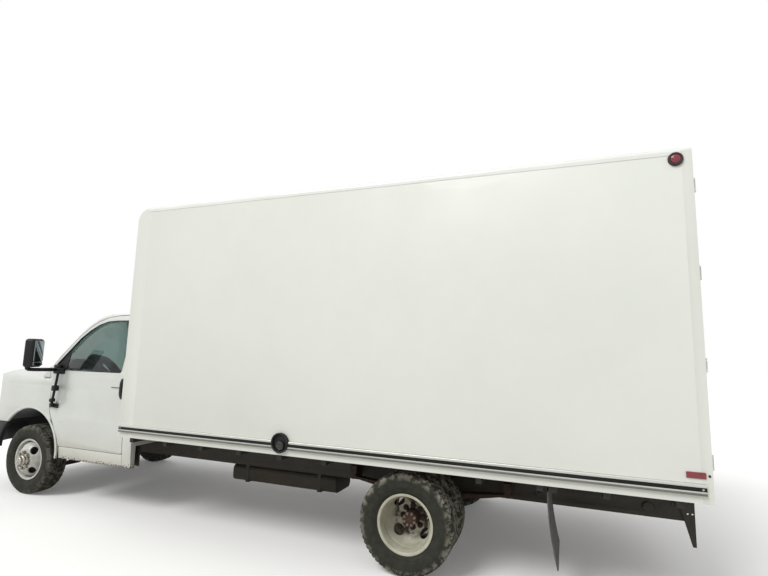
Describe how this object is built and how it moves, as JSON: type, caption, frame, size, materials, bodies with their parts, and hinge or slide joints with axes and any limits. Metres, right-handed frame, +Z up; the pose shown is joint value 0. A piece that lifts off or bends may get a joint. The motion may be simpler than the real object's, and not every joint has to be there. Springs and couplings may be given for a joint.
{
  "type": "box truck",
  "caption": "Box truck: cutaway van cab with a tall plain load box, twin rear wheels, swing rear doors and rub rails.",
  "frame": {"origin": "centre of the bounding box at ground level", "axes": "+X ahead, +Y to the driver's left, +Z up"},
  "size_m": [7.4654, 2.69, 3.059],
  "materials": {
    "white_paint": "gloss, weathered",
    "box_panel": "gloss",
    "chassis_black": "worn, dirty",
    "aluminium": "brushed, weathered",
    "insert_rubber": "matt",
    "tyre_rubber": "dusty",
    "wheel_paint": "worn",
    "cast": "rough",
    "glass": "tinted",
    "black_plastic": "grained",
    "bumper_plastic": "grained",
    "red_lens": "gloss",
    "lamp_lens": "clear",
    "grey_cloth": "woven",
    "flap_rubber": "dusty",
    "steel": "galvanised",
    "wood_floor": "worn"
  },
  "bodies": {
    "chassis": {"frame_rails": "chassis_black", "frame_crossmembers": "chassis_black", "engine_block": "cast", "propeller_shaft": "cast", "rear_axle": "cast", "leaf_springs": "cast", "front_arms": "cast", "fuel_tank": "chassis_black", "exhaust": "steel", "front_bumper": "bumper_plastic", "mud_flaps": "flap_rubber", "cab_floor": "chassis_black", "cab_roof": "white_paint", "cab_back": "white_paint", "sills": "white_paint", "windscreen": "glass", "wings": "white_paint", "front_panel": "white_paint", "cowl": "black_plastic", "grille": "black_plastic", "head_lamps": "lamp_lens", "wheel_liners": "black_plastic", "dashboard": "black_plastic", "seats": "grey_cloth", "box_nose": "box_panel", "box_sides": "box_panel", "box_roof": "box_panel", "box_floor": "wood_floor", "box_bearers": "chassis_black", "box_rear_portal": "white_paint", "rub_rails": "aluminium", "rub_rail_inserts": "insert_rubber", "fuel_filler": "black_plastic", "side_lamps": "red_lens", "tail_lamps": "red_lens"},
    "hood": {"hood": "white_paint"},
    "steering_wheel": {"steering_wheel": "black_plastic"},
    "knuckle_left": {"knuckle_left": "cast"},
    "front_wheel_left": {"front_tyre_left": "tyre_rubber", "front_wheel_left": "wheel_paint"},
    "rear_wheel_left": {"rear_tyres_left": "tyre_rubber", "rear_wheels_left": "wheel_paint"},
    "cab_door_left": {"door_left": "white_paint", "door_glass_left": "glass", "door_fittings_left": "black_plastic"},
    "load_door_left": {"rear_door_left": "box_panel", "rear_door_gear_left": "steel"},
    "knuckle_right": {"knuckle_right": "cast"},
    "front_wheel_right": {"front_tyre_right": "tyre_rubber", "front_wheel_right": "wheel_paint"},
    "rear_wheel_right": {"rear_tyres_right": "tyre_rubber", "rear_wheels_right": "wheel_paint"},
    "cab_door_right": {"door_right": "white_paint", "door_glass_right": "glass", "door_fittings_right": "black_plastic"},
    "load_door_right": {"rear_door_right": "box_panel", "rear_door_gear_right": "steel"}
  },
  "joints": [
    {"name": "hood_hinge", "type": "hinge", "parent": "chassis", "child": "hood", "pos_m": [2.8895, 0, 1.4], "axis": [0, -1, 0], "range_deg": [0, 55]},
    {"name": "kingpin_left", "type": "hinge", "parent": "chassis", "child": "knuckle_left", "pos_m": [2.7925, 0.8, 0.372], "axis": [0, 0, 1], "range_deg": [-33, 33]},
    {"name": "front_wheel_left_spin", "type": "hinge", "parent": "knuckle_left", "child": "front_wheel_left", "pos_m": [2.7925, 0.871, 0.372], "axis": [0, 1, 0], "continuous": true},
    {"name": "rear_wheel_left_spin", "type": "hinge", "parent": "chassis", "child": "rear_wheel_left", "pos_m": [-1.7035, 0.907, 0.372], "axis": [0, 1, 0], "continuous": true},
    {"name": "cab_door_left_hinge", "type": "hinge", "parent": "chassis", "child": "cab_door_left", "pos_m": [2.4385, 1, 0.9], "axis": [0, 0, -1], "range_deg": [0, 68]},
    {"name": "load_door_left_hinge", "type": "hinge", "parent": "chassis", "child": "load_door_left", "pos_m": [-3.6965, 1.159, 1.9], "axis": [0, 0, -1], "range_deg": [0, 180]},
    {"name": "kingpin_right", "type": "hinge", "parent": "chassis", "child": "knuckle_right", "pos_m": [2.7925, -0.8, 0.372], "axis": [0, 0, 1], "range_deg": [-33, 33]},
    {"name": "front_wheel_right_spin", "type": "hinge", "parent": "knuckle_right", "child": "front_wheel_right", "pos_m": [2.7925, -0.871, 0.372], "axis": [0, 1, 0], "continuous": true},
    {"name": "rear_wheel_right_spin", "type": "hinge", "parent": "chassis", "child": "rear_wheel_right", "pos_m": [-1.7035, -0.907, 0.372], "axis": [0, 1, 0], "continuous": true},
    {"name": "cab_door_right_hinge", "type": "hinge", "parent": "chassis", "child": "cab_door_right", "pos_m": [2.4385, -1, 0.9], "axis": [0, 0, 1], "range_deg": [0, 68]},
    {"name": "load_door_right_hinge", "type": "hinge", "parent": "chassis", "child": "load_door_right", "pos_m": [-3.6965, -1.159, 1.9], "axis": [0, 0, 1], "range_deg": [0, 180]},
    {"name": "steering_turn", "type": "hinge", "parent": "chassis", "child": "steering_wheel", "pos_m": [2.1025, 0.43, 1.17], "axis": [-0.848, 0, 0.5299], "range_deg": [-495, 495]}
  ],
  "couplings": [
    {"joint": "kingpin_right", "follows": "kingpin_left", "ratio": 1},
    {"joint": "steering_turn", "follows": "kingpin_left", "ratio": 15}
  ]
}
